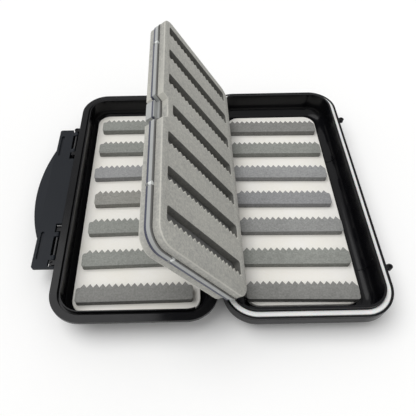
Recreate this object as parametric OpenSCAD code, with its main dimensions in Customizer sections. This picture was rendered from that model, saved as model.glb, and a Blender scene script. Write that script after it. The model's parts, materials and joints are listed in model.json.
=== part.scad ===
// Two-part pocket case with foam-lined trays, a swing leaf with foam on both
// faces, a seal in the base rim and a full-length side latch, shown open flat.
// Origin: centre of the base's underside. +Y runs along the hinge, +Z is up,
// and the hinge side of the base faces -X.

/* [Case halves] */
// Length of each half, along the hinge
case_l = 180; // [165:1:205]
// Width of each half, across the hinge
case_w = 92; // [86:1:110]
// Height of each half, from its underside to the closing plane
half_h = 17; // [16.5:0.5:22]
// Outer corner radius of both rims
corner_r = 17.8; // [16.5:0.1:20]
// Distance from the hinge axis to each rim
hinge_gap = 1.2; // [1:0.1:1.4]
// How far each rim stops short of the closing plane
rim_gap = 0.15; // [0.1:0.05:0.3]
// Wall and floor thickness of the base
wall_t = 1.9; // [1.6:0.1:2.2]
// Set-back of the base wall's outer face from the rim edge
wall_inset = 3.6; // [3.4:0.1:4]
// Outer radius between wall and underside
bottom_r = 8; // [6:0.5:8.5]
// Thickness of the base's rim flange
flange_t = 3.6; // [3.3:0.1:4]
// Height of the skirt that hangs from the base's rim
skirt_h = 7.4; // [7.2:0.1:8]
// Thickness of the skirt
skirt_t = 1.4; // [1.1:0.1:1.6]
// Thickness of the lid's rim flange
lid_flange_t = 2.2; // [1.9:0.1:2.6]
// Wall thickness of the lid
lid_wall_t = 2.05; // [1.8:0.05:2.2]
// Floor thickness of the lid
lid_floor_t = 2.4; // [2:0.1:2.8]
// Inner radius between the lid's wall and floor
lid_fillet_r = 3.3; // [2:0.1:3.4]
// Distance of the far wall rib from mid-length
rib_far = 32; // [20:1:60]
// Distance of the near wall rib from mid-length
rib_near = 55; // [20:1:60]
// Thickness of the wall ribs
rib_t = 0.7; // [0.5:0.1:1]
// How far the wall ribs stand out
rib_proud = 0.5; // [0.3:0.1:0.8]

/* [Rim and seal] */
// Width of the base's raised inner lip
lip_w = 1.2; // [1:0.1:1.3]
// Height of the inner lip above the closing plane
lip_h = 2.1; // [1.6:0.1:2.2]
// Height of its low stretch beside the hinge
lip_low_h = 0.85; // [0.85:0.05:0.95]
// Distance from the base's middle to the step between the two
lip_step = 33; // [32:0.5:34]
// Width of the base's outer lip
outer_lip_w = 1.1; // [1:0.1:1.5]
// Depth of the seal groove below the rim
groove_d = 2.25; // [2:0.05:2.6]
// Radius on the seal's crown
seal_r = 0.8; // [0.5:0.1:1.2]
// Side clearance of the seal in its groove
seal_side = 0.1; // [0.05:0.05:0.2]
// Clearance between the inner lip and the lid's groove
lip_clear = 0.1; // [0.05:0.05:0.2]
// Clearance above the inner lip in the lid's groove
lip_top_clear = 0.3; // [0.2:0.1:0.5]
// Thickness of the lid outside and under that groove
groove_wall = 1; // [0.8:0.1:1.2]
// Width of the lid's thin inner tongue
tongue_w = 0.65; // [0.5:0.05:0.7]
// Height of the tongue above the closing plane
tongue_h = 0.65; // [0.4:0.05:0.8]
// Depth of the fine line round the skirt
line_d = 0.4; // [0.2:0.1:0.6]

/* [Case hinge] */
// Knuckle radius
knuckle_r = 2; // [1.8:0.1:2]
// Hinge pin radius
pin_r = 1; // [0.8:0.05:1.1]
// Running clearance of the pin in the lid's knuckles, on the radius
pin_run = 0.05; // [0.03:0.01:0.1]
// Distance from mid-length to each hinge's inner end
hinge_in = 38; // [30:1:44]
// Length of each base knuckle
knuckle_l = 8; // [6:0.5:8]
// Length of each lid knuckle
lid_knuckle_l = 11.2; // [9:0.2:11.2]
// End clearance between knuckles
knuckle_gap = 0.4; // [0.3:0.1:0.6]

/* [Tray liners] */
// Set-back of the base's liner from the rim edge
base_liner_in = 12.95; // [12:0.05:13.5]
// Set-back of the lid's liner from the rim edge
lid_liner_in = 9.75; // [9.7:0.05:11]
// Corner radius of the liners
liner_r = 8.5; // [6:0.5:10]
// Thickness of the base's liner
base_liner_t = 2.25; // [1.5:0.05:2.5]
// Thickness of the lid's liner
lid_liner_t = 3; // [2:0.1:3.2]

/* [Foam strips] */
// Length of the base's strips
base_strip_l = 63.4; // [56:0.2:63.6]
// Length of the lid's strips
lid_strip_l = 66; // [56:0.2:66.4]
// Height of each strip
strip_t = 4; // [3:0.1:4.3]
// Depth of a strip from its straight edge to the tooth roots
strip_d = 9; // [7:0.1:10]
// Height of the saw teeth
tooth_h = 2.2; // [1.5:0.1:2.4]
// Distance from tooth to tooth
tooth_p = 3.6; // [3:0.1:5]
// Corner radius of a strip
strip_r = 1.6; // [1:0.1:2]
// Liner left free at the near end
strip_near = 0.6; // [0.4:0.1:3]
// Liner left free at the far end
strip_far = 7.1; // [4:0.1:10]
// How much shorter the middle strip is
strip_short = 2; // [0:0.1:4]

/* [Swing leaf] */
// Angle of the open leaf above the base's rim plane
leaf_open = 124.66; // [110:0.01:126]
// Distance from the base's inner wall to the leaf's pivot
pivot_in = 1.7; // [1.6:0.1:2]
// Depth of the pivot below the closing plane
pivot_drop = 0.58; // [0.5:0.01:0.7]
// Thickness of each clear plate
plate_t = 1.7; // [1.2:0.1:1.7]
// Thickness of each foam pad
pad_t = 4.3; // [3.5:0.1:4.4]
// Distance from the pivot to the plates' middle, towards the front
core_off = 1.5; // [1.3:0.1:1.6]
// Clearance from the plates' ends to the base's end walls
plate_end = 1.3; // [1.2:0.1:2]
// Clearance from the plates' free edge to the base's wall
plate_free = 1.7; // [1.6:0.1:2.5]
// Clearance from the pads' ends to the base's end walls
pad_end = 1.6; // [1.5:0.1:2.5]
// Clearance from the pads' free edge to the base's wall
pad_free = 3; // [2.6:0.1:4]
// Where the front pad and plate start, from the pivot
front_start = 1.95; // [1.9:0.05:3]
// Where the back plate starts, from the pivot
back_plate_start = 3.4; // [3.3:0.1:5]
// Where the back pad starts, from the pivot
back_pad_start = 8; // [7.8:0.1:10]
// Radius of the pads' near corners
pad_r = 9; // [7.5:0.5:10]
// Radius of the pads' far corners
pad_far_r = 7.5; // [7.5:0.5:10]
// Offset of the front pad towards the far end
front_shift = 0.6; // [0:0.1:0.6]
// Corner radius of the plates
plate_r = 10; // [9:0.5:11]
// Radius of the leaf's pivot pins
leaf_pin_r = 0.8; // [0.6:0.05:0.85]
// Running clearance of the pivot pins, on the radius
leaf_pin_run = 0.05; // [0.03:0.01:0.1]
// Radius of the barrels that carry the pivot pins
barrel_r = 1.2; // [1:0.05:1.2]
// Depth of the finger notch in the free edge
notch_d = 4.1; // [2:0.1:4.3]
// Reach of the notch from mid-length, near side of the free edge
notch_near = 9.4; // [7:0.1:12]
// Reach of the notch from mid-length, near side of its bottom
notch_in_w = 5.2; // [3:0.1:6.5]
// Reach of the notch from mid-length, far side of its bottom
notch_far = 8.8; // [6:0.1:9.5]
// How much further that side reaches at the free edge
notch_slant = 0.8; // [0.2:0.1:1.5]

/* [Leaf slots] */
// Pad left between the front pad's start and its slots
slot_front = 5.45; // [4:0.05:9]
// Width of a slot, teeth included
slot_w = 8.5; // [7:0.1:9.5]
// Height of the teeth in the slots
slot_tooth_h = 1.9; // [1:0.1:2.2]
// Corner radius of a slot
slot_r = 1.6; // [1:0.1:2]
// Pad left at the free edge
slot_free = 4.9; // [3.5:0.1:6]
// Pad left at the near end
slot_near = 12.2; // [8:0.1:14]
// Pad left at the far end
slot_far = 5.8; // [4:0.1:9]
// Pad left between the back pad's start and its slots
slot_back = 4.4; // [3:0.1:8]
// How much shorter the middle slot is, beside the notch
slot_short = 3.8; // [3.5:0.1:6]

/* [Leaf rivets] */
// Radius of the clear rivets on the free edge
rivet_r = 1.1; // [0.9:0.05:1.2]
// How far the rivets stand out of the plates' edge
rivet_out = 0.6; // [0.3:0.05:0.8]
// Distance of the far rivet from the leaf's middle
rivet_far = 58; // [40:1:66]
// Distance of the near rivet from the leaf's middle
rivet_near = 51; // [40:1:66]
// Distance of the end rivet from the pivot
rivet_end_u = 61; // [30:0.2:62]

/* [Latch] */
// Half length of the latch
latch_half = 55.75; // [55.75:0.25:56.5]
// Offset of the latch's middle towards the near end
latch_shift = 1.45; // [1.2:0.05:1.6]
// Thickness of the latch plate
latch_t = 1.8; // [1.5:0.1:2]
// Distance from the lid's rim to the latch's axis
latch_out = 1.9; // [1.9:0.05:2.2]
// Depth of the latch's axis below the closing plane
latch_drop = 1.9; // [1.7:0.1:2]
// Width of the latch from its axis to its straight edge
latch_w = 11.6; // [10.8:0.1:12.5]
// Reach of the thumb arc from the latch's axis
thumb_reach = 18.6; // [14.5:0.1:18.6]
// Half length of the thumb arc
thumb_half = 35.8; // [28:0.1:45]
// Outer corner radius of the latch
latch_r = 1.5; // [0.5:0.1:3]
// Slope of the bevel on the thumb arc
thumb_slope = 11; // [4:1:13]
// Distance from the axis to the catch groove
catch_reach = 8.8; // [8.7:0.05:9]
// Width of the catch groove
catch_w = 2.2; // [1.5:0.1:2.4]
// Depth of the catch groove
catch_d = 1; // [0.9:0.1:1.1]
// Length of each catch groove
catch_l = 19; // [12:0.5:21]
// Distance from the latch's ends to a catch groove's middle
catch_in = 15.35; // [13.75:0.05:17.75]
// Height of the base's ridge in the groove
ridge_h = 0.9; // [0.7:0.1:1]
// Clearance of the ridge at the groove's ends
catch_clear = 0.2; // [0.15:0.05:0.25]
// Radius of the latch pins
latch_pin_r = 0.65; // [0.5:0.05:0.7]
// Running clearance of the latch on its pins, on the radius
latch_run = 0.05; // [0.03:0.01:0.08]
// Radius of the latch's barrels
latch_barrel_r = 1.35; // [1.2:0.05:1.4]
// Distance from the latch's far end to the outer ears' middle
ear_in = 0.3; // [0.1:0.05:0.4]
// Radius of the round ears
ear_r = 1.7; // [1.6:0.05:1.8]
// Distance from mid-length to the lid's inner lugs
lug_y = 31.2; // [31:0.1:31.4]
// Length of the inner lugs
lug_l = 2.6; // [2:0.1:2.8]
// Height of the ears
ear_h = 3; // [2.6:0.1:3]
// Radius of the dimple in each ear
ear_hole_r = 0.8; // [0.4:0.1:0.9]
// Depth of the dimple in each ear
ear_hole_d = 0.6; // [0.3:0.1:0.7]
// Thickness of the lid's shelf under the latch pins
shelf_t = 0.8; // [0.6:0.1:1.2]
// Reach of the shelf beyond the latch's axis
shelf_out = 2.4; // [2.2:0.1:2.8]

/* [Base eyelets] */
// Gap between an eyelet's ring and the rim
eyelet_out = 0.4; // [0.2:0.1:0.8]
// Depth of the eyelets' top below the rim
eyelet_drop = 0.6; // [0.3:0.1:1]
// Distance from mid-length to each eyelet
eyelet_y = 60.4; // [60:0.2:64]
// Radius of an eyelet
eyelet_r = 1.7; // [1.5:0.1:2]
// Radius of the hole in an eyelet
eyelet_hole_r = 0.65; // [0.5:0.05:0.8]
// Thickness of an eyelet
eyelet_t = 2.4; // [1.8:0.1:3]

/* [Hidden] */
$fn = 64;
e = 0.5;                                  // overrun of a cutting tool
rib_top = 1;                              // wall ribs stop this far below the rim
rows = 7;                                 // strips in a tray, slots in a pad
middle = 4;                               // middle strip and slot
tooth_side = 1.5;                         // least length left beside the teeth
// sideways strays of the strips, from the near end to the far end
base_strays = [-0.7, -0.7, -0.2, -1.7, -1.3, -1, -0.9];
lid_strays = [-0.95, -0.05, 1.1, 1.6, 0.05, 0.9, 1.3];
// shifts of the strips towards the far end
base_shifts = [1, 0.8, 0.8, -0.3, -0.5, -0.7, -1.4];
lid_shifts = [1.3, 1.7, 1.8, 1.6, 1.5, 1.7, 1.6];
// turns of the strips, in degrees
base_turns = [-1.3, -0.9, -0.9, -1.2, -1.3, -0.9, -0.9];
lid_turns = [0.6, 1.3, 1.2, 1.2, 1.2, 0, 0];

rim_z = half_h - rim_gap;                 // top of both rims
hinge_x = -(case_w / 2 + hinge_gap);      // hinge axis
lid_x = 2 * hinge_x;                      // middle of the lid

base_in = wall_inset + wall_t;            // base's inner wall, from the rim edge
lip_out = base_in - lip_w;                // outer face of the inner lip
lid_groove_out = lip_out - lip_clear;     // lid's groove, from the rim edge
lid_groove_in = base_in + lip_clear;
lid_in = lid_groove_in + tongue_w;        // lid's inner wall
lid_wall_out = lid_in - lid_wall_t;
lid_groove_z = half_h - lip_h - lip_top_clear;
floor_t = wall_t;
base_turn = wall_inset + bottom_r;        // centre of the base's bottom radius
lid_turn = lid_in + lid_fillet_r;

knuckle_cut = 0.3;                        // clearance round the other's knuckles
knuckle_pitch = (knuckle_l + lid_knuckle_l) / 2 + knuckle_gap;
knuckle_mid = hinge_in + knuckle_l / 2 + knuckle_pitch;
hinge_len = 2 * knuckle_l + lid_knuckle_l + 2 * knuckle_gap;

base_floor_z = floor_t;
base_liner_l = case_l - 2 * base_liner_in;
strip_w = strip_d + tooth_h;
strip_first = -base_liner_l / 2 + strip_near;
strip_pitch = (base_liner_l - strip_near - strip_far - strip_w) / (rows - 1);

pivot_x = hinge_x + hinge_gap + base_in + pivot_in;
pivot_z = half_h - pivot_drop;
cavity_l = case_l - 2 * base_in;          // inside length of the base
wall_u = case_w - 2 * base_in - pivot_in; // far wall, from the pivot
plate_half = cavity_l / 2 - plate_end;
pad_half = cavity_l / 2 - pad_end;
plate_u = wall_u - plate_free;
pad_u = wall_u - pad_free;
lip_low_y = case_l / 2 - corner_r + 2;    // the lip is low up to here
barrel_y = lip_low_y + e;                 // outer end of the leaf's barrels
barrel_l = 4.7;
arm_l = back_plate_start - 0.25;          // reach of the barrels' arms
leaf_pin_in = 10.7;
leaf_pin_y = case_l / 2 - leaf_pin_in;    // end of the leaf's pins
tab_gap = 0.3;                            // clearance of the finger tab in its notch
tab_near = -notch_in_w + tab_gap;
tab_l = notch_far - 1.2 - tab_near;
slot_end_u = pad_u - slot_free;
slot_pitch = (2 * pad_half - slot_near - slot_far - slot_w) / (rows - 1);
rivet_u = plate_u + rivet_out - rivet_r;
rivet_y = plate_half + rivet_out / 2 - rivet_r;

latch_x = lid_x - case_w / 2 - latch_out; // latch axis
latch_z = half_h - latch_drop;
latch_back = latch_out - 0.4;             // plate on the rim side of the axis
ear_y = latch_half - latch_shift - ear_in;
catch_mid = latch_half - catch_in;
room_out = 1.9;                           // openings' reach beyond the axis
shelf_gap = 0.2;                          // shelf to the openings' ends
shelf_z = latch_z - latch_barrel_r - 0.45;
lug_t = 1.8;                              // height of the lugs' webs
ear_gap = 0.4;                            // latch to ear, along the axis
bare_w = 13;                              // lid's stretch with no tongue
ear_room = 0.8;                           // latch to ear, round the axis
barrel_1 = lug_y + lug_l / 2 + ear_gap;   // inner barrel's start
latch_barrel_l = 3;
bevel_in = 0.6;                           // bevel's start beyond the straight edge
lug_room = 3.2;                           // opening on a lug's inner side
latch_pin_y0 = lug_y - lug_l / 2;
latch_pin_y1 = ear_y + ear_r - 0.2;
catch_z = half_h - (catch_reach - latch_drop);
catch_tip = latch_out - latch_t / 2 + catch_d - 0.45;

// Rounded rectangle from true arcs and straight edges.
module rrect(w, l, r) {
  square([w - 2 * r, l], center = true);
  square([w, l - 2 * r], center = true);
  for (sx = [-1, 1], sy = [-1, 1])
    translate([sx * (w / 2 - r), sy * (l / 2 - r)])
      circle(r);
}

// Carries a wall section round the case. In the section x = 0 is the rim edge,
// -x leads into the case and y is the height.
module around() {
  dx = case_w / 2 - corner_r;
  dy = case_l / 2 - corner_r;
  for (q = [[1, 1, 0], [-1, 1, 90], [-1, -1, 180], [1, -1, 270]])
    translate([q[0] * dx, q[1] * dy, 0])
      rotate([0, 0, q[2]])
        rotate_extrude(angle = 90)
          translate([corner_r, 0])
            children();
  for (a = [0, 180])
    rotate([0, 0, a])
      translate([dx, dy, 0])
        rotate([90, 0, 0])
          linear_extrude(2 * dy)
            translate([corner_r, 0])
              children();
  for (a = [90, 270])
    rotate([0, 0, a])
      translate([dy, dx, 0])
        rotate([90, 0, 0])
          linear_extrude(2 * dx)
            translate([corner_r, 0])
              children();
}

// Section block between two insets and two heights.
module block(in0, in1, z0, z1) {
  translate([-in1, z0])
    square([in1 - in0, z1 - z0]);
}

// Quarter turn between wall and floor, round the point at the given inset.
module turn(inset, z, r_out, r_in) {
  translate([-inset, z])
    intersection() {
      difference() {
        circle(r_out);
        circle(r_in);
      }
      translate([0, -r_out])
        square([r_out, r_out]);
    }
}

// Floor slab inside a bottom turn.
module floor_slab(inset, t) {
  linear_extrude(t)
    rrect(case_w - 2 * inset, case_l - 2 * inset, corner_r - inset);
}

// Upright slab that is round along the hinge direction, between two lengths.
module along_y(r, y0, y1) {
  translate([0, y1, 0])
    rotate([90, 0, 0])
      cylinder(r = r, h = y1 - y0);
}

module both_ends() {
  children();
  mirror([0, 1, 0])
    children();
}

// ---------------------------------------------------------------- base

module base_section() {
  difference() {
    union() {
      block(0, base_in, rim_z - flange_t, rim_z);
      block(0, skirt_t, rim_z - skirt_h, rim_z);
      block(wall_inset, base_in, bottom_r, rim_z);
      block(lip_out, base_in, rim_z - flange_t, half_h + lip_h);
      turn(base_turn, bottom_r, bottom_r, bottom_r - wall_t);
      block(base_turn, base_turn + e, 0, floor_t);
    }
    block(outer_lip_w, lip_out, rim_z - groove_d, half_h + e);
    block(-e, line_d, rim_z - outer_lip_w - line_d, rim_z - outer_lip_w);
  }
}

// Thin rib that follows the wall and the bottom turn.
module wall_rib(y) {
  r = bottom_r - wall_t;
  translate([case_w / 2, y + rib_t / 2, 0])
    rotate([90, 0, 0])
      linear_extrude(rib_t)
        union() {
          turn(base_turn, bottom_r, r, r - rib_proud);
          block(base_in, base_in + rib_proud, bottom_r, rim_z - rib_top);
        }
}

module eyelet() {
  neck_w = eyelet_r * 1.4;
  neck_l = eyelet_r + eyelet_out + skirt_t / 2;
  translate([case_w / 2 + eyelet_r + eyelet_out, eyelet_y,
    rim_z - eyelet_t - eyelet_drop])
    difference() {
      union() {
        cylinder(r = eyelet_r, h = eyelet_t);
        translate([-neck_l, -neck_w / 2, 0])
          cube([neck_l, neck_w, eyelet_t]);
      }
      translate([0, 0, -e])
        cylinder(r = eyelet_hole_r, h = eyelet_t + 2 * e);
    }
}

// Ridge on the skirt that sits in the latch's groove when the case is shut.
module catch_ridge(y_mid) {
  len = catch_l - 4 * catch_clear;
  translate([case_w / 2 - skirt_t / 2, y_mid - latch_shift - len / 2,
    catch_z - ridge_h / 2])
    cube([skirt_t / 2 + catch_tip, len, ridge_h]);
}

module base_shell() {
  color([0.05, 0.05, 0.06])
    difference() {
      union() {
        around()
          base_section();
        floor_slab(base_turn, floor_t);
        both_ends()
          for (s = [-1, 1])
            translate([hinge_x, knuckle_mid + s * knuckle_pitch, half_h])
              along_y(knuckle_r, -knuckle_l / 2, knuckle_l / 2);
        both_ends()
          eyelet();
        for (s = [-1, 1])
          catch_ridge(s * catch_mid);
        wall_rib(rib_far);
        wall_rib(-rib_near);
      }
      // room for the lid's knuckles, and the pins' bores
      both_ends()
        translate([hinge_x, knuckle_mid, half_h]) {
          along_y(knuckle_r + knuckle_cut, -lid_knuckle_l / 2 - knuckle_gap,
            lid_knuckle_l / 2 + knuckle_gap);
          along_y(pin_r, -hinge_len / 2 - e, hinge_len / 2 + e);
        }
      // the inner lip is lower beside the hinge, and cut away where the leaf
      // swings over it
      translate([hinge_x, -case_l / 2, half_h + lip_low_h])
        cube([-lip_step - hinge_x, case_l, lip_h + 1]);
      translate([hinge_x, -lip_low_y, rim_z])
        cube([hinge_gap + base_in + 2, 2 * lip_low_y, lip_h + 1]);
      // bores for the leaf's pivot pins
      both_ends()
        translate([pivot_x, 0, pivot_z])
          along_y(leaf_pin_r + leaf_pin_run, barrel_y, leaf_pin_y + 0.3);
    }
}

module base_gasket() {
  in0 = outer_lip_w + seal_side;
  in1 = lip_out - seal_side;
  color([0.93, 0.93, 0.91])
    around() {
      block(in0, in1, rim_z - groove_d, half_h - seal_r);
      block(in0 + seal_r, in1 - seal_r, rim_z - groove_d, half_h);
      for (x = [in0 + seal_r, in1 - seal_r])
        translate([-x, half_h - seal_r])
          circle(seal_r);
    }
}

module base_liner() {
  color([0.95, 0.94, 0.9])
    translate([0, 0, base_floor_z])
      linear_extrude(base_liner_t)
        rrect(case_w - 2 * base_liner_in, base_liner_l, liner_r);
}

// Strip with a straight near edge and a saw-toothed far edge.
module strip(i, long, strays, shifts, turns) {
  y0 = strip_first + (i - 1) * strip_pitch + shifts[i - 1];
  len = long - (i == middle ? strip_short : 0);
  n = floor((len - tooth_side) / tooth_p);
  side = (len - n * tooth_p) / 2;
  translate([strays[i - 1], y0 + strip_d / 2, 0])
    rotate(turns[i - 1])
    translate([-len / 2, -strip_d / 2, 0])
    linear_extrude(strip_t)
      union() {
        translate([len / 2, strip_d / 2])
          rrect(len, strip_d, strip_r);
        for (k = [0 : n - 1])
          polygon([[side + k * tooth_p, strip_d - 0.5],
            [side + (k + 1) * tooth_p, strip_d - 0.5],
            [side + (k + 1) * tooth_p, strip_d],
            [side + (k + 0.5) * tooth_p, strip_w],
            [side + k * tooth_p, strip_d]]);
      }
}

module base_strip(i) {
  color([0.48, 0.48, 0.5])
    translate([0, 0, base_floor_z + base_liner_t])
      strip(i, base_strip_l, base_strays, base_shifts, base_turns);
}

module hinge_pins() {
  color([0.7, 0.7, 0.72])
    both_ends()
      translate([hinge_x, knuckle_mid, half_h])
        along_y(pin_r, -hinge_len / 2, hinge_len / 2);
}

// ---------------------------------------------------------------- leaf

// Turns pieces drawn round the pivot, with x to the free edge and the front
// face downwards, to the open leaf.
module on_pivot() {
  translate([pivot_x, 0, pivot_z])
    rotate([0, -leaf_open, 0])
      children();
}

// The same, with z = 0 between the two plates.
module on_leaf() {
  on_pivot()
    translate([0, 0, -core_off])
      children();
}

module leaf_outline(u0, u1, half, r, far_r) {
  for (q = [[r, -half - e], [far_r, -e]])
    translate([(u0 + u1) / 2, 0])
      intersection() {
        rrect(u1 - u0, 2 * half, q[0]);
        translate([u0 - u1, q[1]])
          square([2 * (u1 - u0), half + 2 * e]);
      }
}

module notch(edge) {
  over = 4;
  near_s = (notch_near - notch_in_w) / notch_d;
  far_s = notch_slant / notch_d;
  polygon([[edge - notch_d, -notch_in_w], [edge + over, -notch_near - over * near_s],
    [edge + over, notch_far + notch_slant + over * far_s], [edge - notch_d, notch_far]]);
}

// One slot: straight far edge, teeth along the near edge.
module slot(u0, u1) {
  n = floor((u1 - u0 - tooth_side) / tooth_p);
  side = (u1 - u0 - n * tooth_p) / 2;
  difference() {
    translate([(u0 + u1) / 2, slot_w / 2])
      rrect(u1 - u0, slot_w, slot_r);
    for (k = [0 : n - 1])
      polygon([[u0 + side + k * tooth_p, -1],
        [u0 + side + k * tooth_p, 0],
        [u0 + side + (k + 0.5) * tooth_p, slot_tooth_h],
        [u0 + side + (k + 1) * tooth_p, 0],
        [u0 + side + (k + 1) * tooth_p, -1]]);
  }
}

module leaf_pad(u0, margin, shift) {
  linear_extrude(pad_t)
    difference() {
      translate([0, shift])
        leaf_outline(u0, pad_u, pad_half, pad_r, pad_far_r);
      notch(pad_u);
      for (k = [0 : rows - 1])
        translate([0, shift - pad_half + slot_near + k * slot_pitch])
          slot(u0 + margin, slot_end_u - (k == middle - 1 ? slot_short : 0));
    }
}

module rivet_shapes() {
  translate([rivet_u, rivet_far, -plate_t])
    cylinder(r = rivet_r, h = 2 * plate_t);
  translate([rivet_u, -rivet_near, -plate_t])
    cylinder(r = rivet_r, h = 2 * plate_t);
  translate([rivet_end_u, -rivet_y, -plate_t])
    cylinder(r = rivet_r, h = 2 * plate_t);
}

module leaf_plate_front() {
  color([0.85, 0.88, 0.92, 0.5]) {
    on_leaf()
      difference() {
        translate([0, 0, -plate_t])
          linear_extrude(plate_t)
            difference() {
              leaf_outline(front_start, plate_u, plate_half, plate_r, plate_r);
              notch(plate_u);
            }
        rivet_shapes();
      }
    // arms, barrels and pivot pins
    on_pivot()
      both_ends() {
        translate([0, barrel_y - barrel_l, -core_off - plate_t])
          cube([arm_l, barrel_l, core_off + plate_t]);
        along_y(barrel_r, barrel_y - barrel_l, barrel_y);
        along_y(leaf_pin_r, barrel_y - 1, leaf_pin_y);
      }
  }
}

module leaf_plate_back() {
  color([0.85, 0.88, 0.92, 0.5])
    on_leaf()
      difference() {
        union() {
          linear_extrude(plate_t)
            difference() {
              leaf_outline(back_plate_start, plate_u, plate_half, plate_r, plate_r);
              notch(plate_u);
            }
          // finger tab that fills the back pad's notch
          translate([pad_u - notch_d + tab_gap, tab_near, plate_t - e])
            cube([notch_d - tab_gap, tab_l, pad_t]);
          translate([pad_u - notch_d - 1, tab_near, 0])
            cube([notch_d + 1, tab_l, plate_t]);
        }
        rivet_shapes();
      }
}

module leaf_pad_front() {
  color([0.6, 0.6, 0.6])
    on_leaf()
      translate([0, 0, -plate_t - pad_t])
        leaf_pad(front_start, slot_front, front_shift);
}

module leaf_pad_back() {
  color([0.58, 0.58, 0.6])
    on_leaf()
      translate([0, 0, plate_t])
        leaf_pad(back_pad_start, slot_back, 0);
}

module leaf_rivets() {
  color([0.9, 0.92, 0.95])
    on_leaf()
      rivet_shapes();
}

// ---------------------------------------------------------------- lid

module lid_section() {
  difference() {
    union() {
      block(0, lid_in, rim_z - lid_flange_t, rim_z);
      block(lid_groove_out - groove_wall, lid_in, lid_groove_z - groove_wall, rim_z);
      block(lid_groove_in, lid_in, rim_z - lid_flange_t, half_h + tongue_h);
      block(lid_wall_out, lid_in, bottom_r, rim_z);
      // wall's bend, cut level with the floor
      difference() {
        turn(lid_wall_out + bottom_r, bottom_r, bottom_r, bottom_r - lid_wall_t);
        block(lid_turn, lid_wall_out + bottom_r + e, lid_floor_t, bottom_r + e);
      }
      block(lid_wall_out + bottom_r, lid_wall_out + bottom_r + e, 0, lid_floor_t);
      // thicker floor up to the inner fillet
      difference() {
        intersection() {
          translate([-lid_wall_out - bottom_r, bottom_r])
            circle(bottom_r);
          block(0, lid_wall_out + bottom_r, 0, bottom_r);
        }
        block(lid_turn, lid_wall_out + bottom_r + e, lid_floor_t, bottom_r + e);
        block(lid_in, lid_turn + e, lid_floor_t + lid_fillet_r, bottom_r + e);
        translate([-lid_turn, lid_floor_t + lid_fillet_r])
          circle(lid_fillet_r);
      }
    }
    block(lid_groove_out, lid_groove_in, lid_groove_z, half_h + e);
  }
}

module lid_ear() {
  translate([-case_w / 2 - latch_out, ear_y, latch_z])
    difference() {
      union() {
        translate([0, 0, -ear_h / 2])
          cylinder(r = ear_r, h = ear_h);
        translate([0, -ear_h / 2, -ear_h / 2])
          cube([latch_out + 1, ear_h, ear_h]);
      }
      along_y(latch_pin_r, -ear_r - e, ear_r + e);
      translate([0, 0, ear_h / 2 - ear_hole_d])
        cylinder(r = ear_hole_r, h = ear_hole_d + e);
    }
}

// Shelf under the latch's openings, from the lug to the ear.
module lid_shelf() {
  y0 = lug_y - lug_l / 2 - lug_room + shelf_gap;
  y1 = ear_y + ear_r + ear_gap - shelf_gap;
  translate([-case_w / 2 - latch_out - shelf_out, y0, shelf_z - shelf_t])
    cube([latch_out + shelf_out + lid_wall_out + 0.8, y1 - y0, shelf_t]);
}

module lid_lug() {
  translate([-case_w / 2 - latch_out, lug_y, latch_z])
    difference() {
      union() {
        along_y(latch_barrel_r, -lug_l / 2, lug_l / 2);
        translate([0, -lug_l / 2, latch_barrel_r - lug_t])
          cube([latch_out + 1, lug_l, lug_t]);
      }
      along_y(latch_pin_r, -lug_l / 2 - e, lug_l / 2 + e);
    }
}

module lid_shell() {
  color([0.06, 0.06, 0.07])
    translate([lid_x, 0, 0])
      difference() {
        union() {
          around()
            lid_section();
          floor_slab(lid_wall_out + bottom_r, lid_floor_t);
          both_ends()
            translate([case_w / 2 + hinge_gap, knuckle_mid, half_h])
              along_y(knuckle_r, -lid_knuckle_l / 2, lid_knuckle_l / 2);
          both_ends() {
            lid_ear();
            lid_lug();
            lid_shelf();
          }
        }
        both_ends()
          translate([case_w / 2 + hinge_gap, knuckle_mid, half_h]) {
            for (s = [-1, 1])
              translate([0, s * knuckle_pitch, 0])
                along_y(knuckle_r + knuckle_cut, -knuckle_l / 2 - knuckle_gap,
                  knuckle_l / 2 + knuckle_gap);
            along_y(pin_r + pin_run, -hinge_len / 2, hinge_len / 2);
          }
        // no tongue on the hinge side, where the leaf's pivots lie
        translate([0, 0, lid_groove_z])
          linear_extrude(lip_h + tongue_h + 1)
            intersection() {
              rrect(case_w - 2 * lid_groove_out, case_l - 2 * lid_groove_out,
                corner_r - lid_groove_out);
              translate([case_w / 2 - bare_w, -case_l / 2])
                square([bare_w, case_l]);
            }
      }
}

module lid_liner() {
  color([0.95, 0.94, 0.9])
    translate([lid_x, 0, lid_floor_t])
      linear_extrude(lid_liner_t)
        rrect(case_w - 2 * lid_liner_in, case_l - 2 * lid_liner_in, liner_r);
}

module lid_strip(i) {
  color([0.48, 0.48, 0.5])
    translate([lid_x, 0, lid_floor_t + lid_liner_t])
      strip(i, lid_strip_l, lid_strays, lid_shifts, lid_turns);
}

module latch_pins() {
  color([0.25, 0.25, 0.27])
    both_ends()
      translate([latch_x, 0, latch_z])
        along_y(latch_pin_r, latch_pin_y0, latch_pin_y1);
}

// ---------------------------------------------------------------- latch

// Outline with x outwards from the axis and y along it.
module latch_outline() {
  sag = thumb_reach - latch_w;
  arc_r = (thumb_half * thumb_half + sag * sag) / (2 * sag);
  translate([0, -latch_shift])
    union() {
      translate([(latch_w - latch_back) / 2, 0])
        rrect(latch_w + latch_back, 2 * latch_half, latch_r);
      translate([-latch_back, -latch_half])
        square([2 * latch_r + 1, 2 * latch_half]);
      intersection() {
        translate([thumb_reach - arc_r, 0])
          circle(arc_r, $fn = 180);
        translate([latch_w - 2, -thumb_half - 1])
          square([sag + 4, 2 * thumb_half + 2]);
      }
    }
}

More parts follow.
